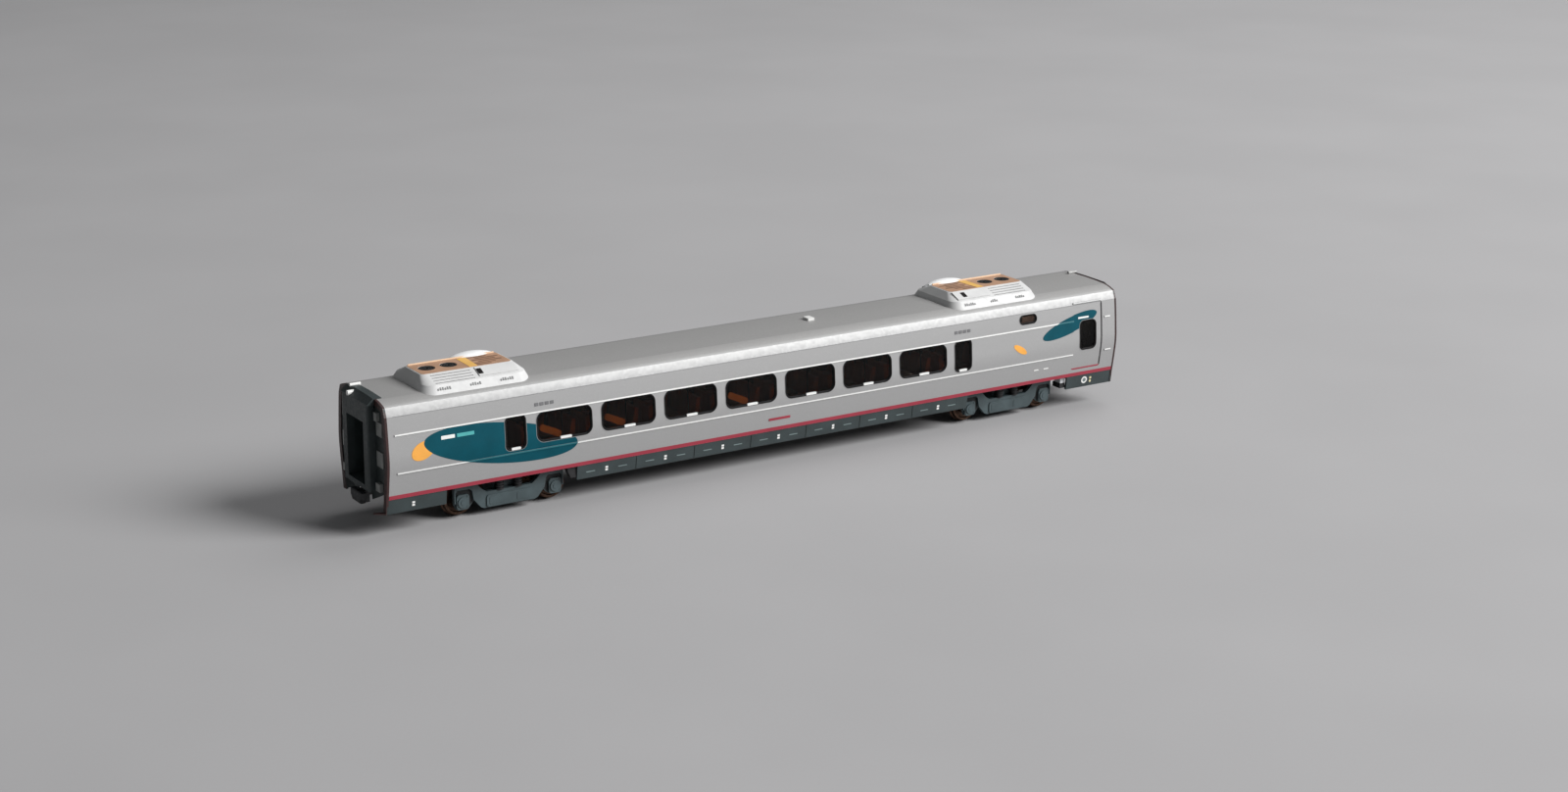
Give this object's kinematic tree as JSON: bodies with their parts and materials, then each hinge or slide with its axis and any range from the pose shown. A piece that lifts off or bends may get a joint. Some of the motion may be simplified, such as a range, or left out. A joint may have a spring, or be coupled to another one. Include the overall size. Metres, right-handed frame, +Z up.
{
  "type": "model passenger coach",
  "caption": "Scale model railway passenger coach with a windowed shell, two swivelling bogies, free-turning wheelsets and a swinging drawbar at each end.",
  "frame": {"origin": "midway between the bogie pivots and the sides, on the plane that the wheel flanges stand on", "axes": "+X along the coach towards the entrance-door end, +Y across it, +Z up"},
  "size_m": [0.308, 0.038, 0.0508],
  "materials": {
    "body_silver": "satin silver paint on moulded plastic",
    "glazing_smoke": "clear smoked glazing",
    "roof_unit_white": "pale silver paint",
    "fan_dark": "matt",
    "dome_white": "matt white",
    "end_dark": "matt dark green-grey",
    "ring_dark": "matt rubber-like",
    "door_dark": "matt",
    "fitting_silver": "satin",
    "chassis_black": "matt",
    "skirt_slate": "satin slate grey",
    "step_pale": "matt",
    "weight_steel": "rolled",
    "tray_grey": "matt",
    "seat_orange": "matt",
    "table_grey": "matt",
    "partition_brown": "matt",
    "board_green": "solder resist",
    "lamp_white": "diffuse",
    "bogie_grey": "satin blue-grey",
    "bearing_brass": "turned",
    "pickup_bronze": "rolled strip",
    "wheel_metal": "browned",
    "bush_black": "matt",
    "axle_steel": "turned",
    "drawbar_black": "matt",
    "screw_steel": "zinc plated"
  },
  "bodies": {
    "coach": {"body_shell": "body_silver", "side_glazing_near": "glazing_smoke", "side_glazing_far": "glazing_smoke", "door_glazing_near": "glazing_smoke", "door_glazing_far": "glazing_smoke", "roof_tab": "fitting_silver", "roof_unit_a": "roof_unit_white", "roof_unit_b": "roof_unit_white", "roof_fans": "fan_dark", "roof_domes": "dome_white", "end_cap_a": "end_dark", "end_cap_b": "end_dark", "gangway_ring_a": "ring_dark", "gangway_ring_b": "ring_dark", "gangway_hood_a": "ring_dark", "gangway_hood_b": "ring_dark", "end_doors": "door_dark", "end_fittings": "fitting_silver", "roof_clips": "fitting_silver", "chassis_floor": "chassis_black", "centre_skirt_near": "skirt_slate", "centre_skirt_far": "skirt_slate", "end_skirts_a": "skirt_slate", "end_skirts_b": "skirt_slate", "underfloor_boxes": "chassis_black", "side_blocks": "chassis_black", "step_blocks": "step_pale", "ballast_weight": "weight_steel", "interior_tray": "tray_grey", "seats": "seat_orange", "tables": "table_grey", "partitions": "partition_brown", "light_board": "board_green", "light_lamps": "lamp_white", "pivot_screws": "screw_steel"},
    "bogie_a": {"bogie_a_frame": "bogie_grey", "bogie_a_sides": "bogie_grey", "bogie_a_bearings": "bearing_brass", "bogie_a_pickups": "pickup_bronze", "bogie_a_springs": "chassis_black"},
    "wheelset_a1": {"wheels_a1": "wheel_metal", "bushes_a1": "bush_black", "axle_a1": "axle_steel"},
    "wheelset_a2": {"wheels_a2": "wheel_metal", "bushes_a2": "bush_black", "axle_a2": "axle_steel"},
    "drawbar_a": {"drawbar_a": "drawbar_black"},
    "bogie_b": {"bogie_b_frame": "bogie_grey", "bogie_b_sides": "bogie_grey", "bogie_b_bearings": "bearing_brass", "bogie_b_pickups": "pickup_bronze", "bogie_b_springs": "chassis_black"},
    "wheelset_b1": {"wheels_b1": "wheel_metal", "bushes_b1": "bush_black", "axle_b1": "axle_steel"},
    "wheelset_b2": {"wheels_b2": "wheel_metal", "bushes_b2": "bush_black", "axle_b2": "axle_steel"},
    "drawbar_b": {"drawbar_b": "drawbar_black"}
  },
  "joints": [
    {"name": "bogie_swivel_a", "type": "hinge", "parent": "coach", "child": "bogie_a", "pos_m": [-0.10425, 0, 0.0123], "axis": [0, 0, 1], "range_deg": [-17, 17]},
    {"name": "wheel_roll_a1", "type": "hinge", "parent": "bogie_a", "child": "wheelset_a1", "pos_m": [-0.12145, 0, 0.00595], "axis": [0, 1, 0], "continuous": true},
    {"name": "wheel_roll_a2", "type": "hinge", "parent": "bogie_a", "child": "wheelset_a2", "pos_m": [-0.08705, 0, 0.00595], "axis": [0, 1, 0], "continuous": true},
    {"name": "drawbar_swing_a", "type": "hinge", "parent": "coach", "child": "drawbar_a", "pos_m": [-0.136, 0, 0.0108], "axis": [0, 0, 1], "range_deg": [-10, 10]},
    {"name": "bogie_swivel_b", "type": "hinge", "parent": "coach", "child": "bogie_b", "pos_m": [0.10425, 0, 0.0123], "axis": [0, 0, 1], "range_deg": [-17, 17]},
    {"name": "wheel_roll_b1", "type": "hinge", "parent": "bogie_b", "child": "wheelset_b1", "pos_m": [0.08705, 0, 0.00595], "axis": [0, 1, 0], "continuous": true},
    {"name": "wheel_roll_b2", "type": "hinge", "parent": "bogie_b", "child": "wheelset_b2", "pos_m": [0.12145, 0, 0.00595], "axis": [0, 1, 0], "continuous": true},
    {"name": "drawbar_swing_b", "type": "hinge", "parent": "coach", "child": "drawbar_b", "pos_m": [0.136, 0, 0.0108], "axis": [0, 0, 1], "range_deg": [-10, 10]}
  ]
}
